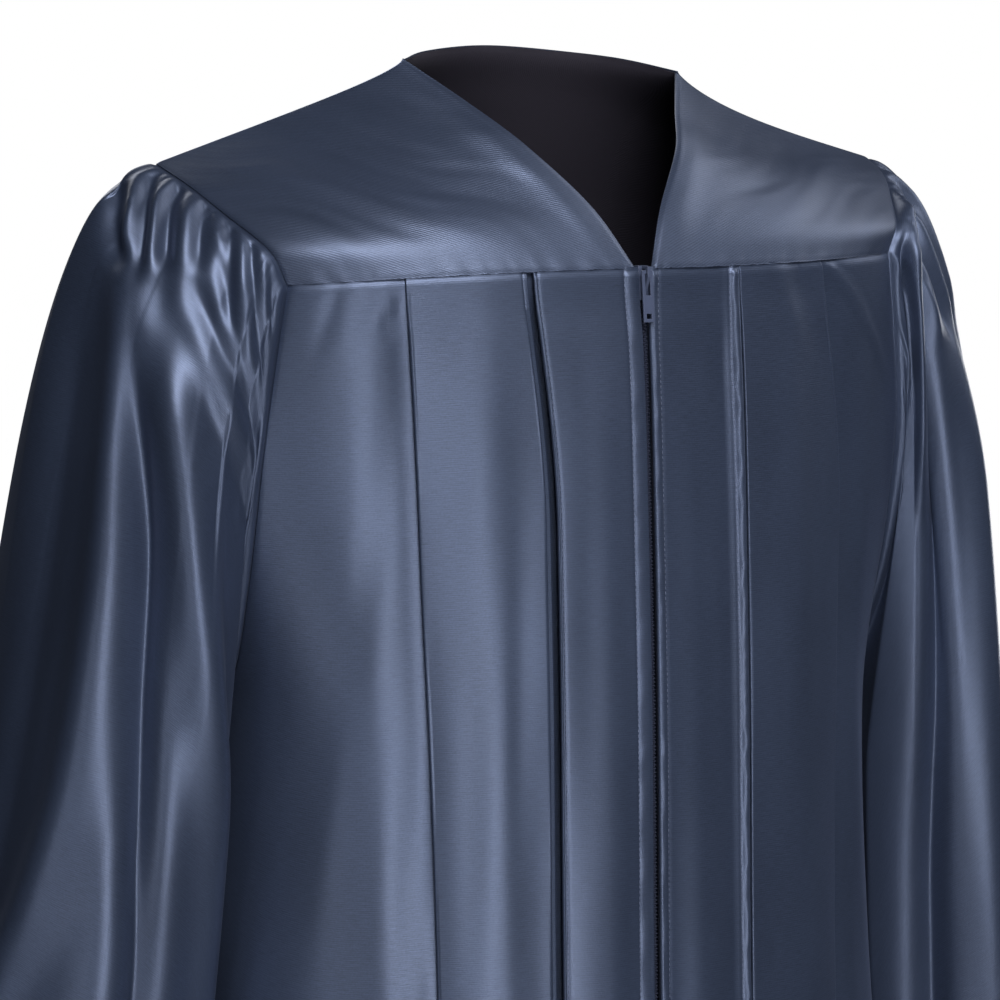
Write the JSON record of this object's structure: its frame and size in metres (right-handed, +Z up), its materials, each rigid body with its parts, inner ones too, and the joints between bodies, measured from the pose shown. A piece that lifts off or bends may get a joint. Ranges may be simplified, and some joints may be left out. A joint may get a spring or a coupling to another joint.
{
  "type": "graduation gown",
  "caption": "Long open-hem graduation gown with a V neck, smooth yokes, pleated fronts, gathered bell sleeves and a full front zip.",
  "frame": {"origin": "midway between the two neck points of the shoulder seams, where the wearer's neck and shoulders carry the gown", "axes": "+Z up, the front with the zip faces -Y, the wearer's left is +X"},
  "size_m": [0.7254, 0.4609, 1.2806],
  "materials": {
    "navy_front_yoke_left": "satin",
    "navy_front_yoke_right": "satin",
    "navy_front_panel_left": "satin",
    "navy_front_panel_right": "satin",
    "navy_sleeve_left": "satin",
    "navy_sleeve_right": "satin",
    "navy_back_yoke": "satin",
    "navy_back_panel": "satin",
    "black_lining": "matte",
    "zip_tape_left": "matte",
    "zip_tape_right": "matte",
    "zip_chain": "matte",
    "zip_slider_paint": "satin",
    "zip_pull_paint": "satin",
    "zip_stop_paint": "satin"
  },
  "bodies": {
    "gown": {"back_panel": "navy_back_panel", "back_yoke": "navy_back_yoke", "front_panel_left": "navy_front_panel_left", "front_panel_right": "navy_front_panel_right", "front_yoke_left": "navy_front_yoke_left", "front_yoke_right": "navy_front_yoke_right", "sleeve_left": "navy_sleeve_left", "sleeve_right": "navy_sleeve_right", "back_yoke_lining": "black_lining", "zip_bottom_stop": "zip_stop_paint", "zip_chain": "zip_chain", "zip_slider": "zip_slider_paint", "zip_tape_left": "zip_tape_left", "zip_tape_right": "zip_tape_right"},
    "pull": {"zip_pull": "zip_pull_paint"}
  },
  "joints": [
    {"name": "pull_swing", "type": "hinge", "parent": "gown", "child": "pull", "pos_m": [0.0045, -0.1131, -0.1067], "axis": [-1, 0, 0], "range_deg": [0, 150]}
  ]
}
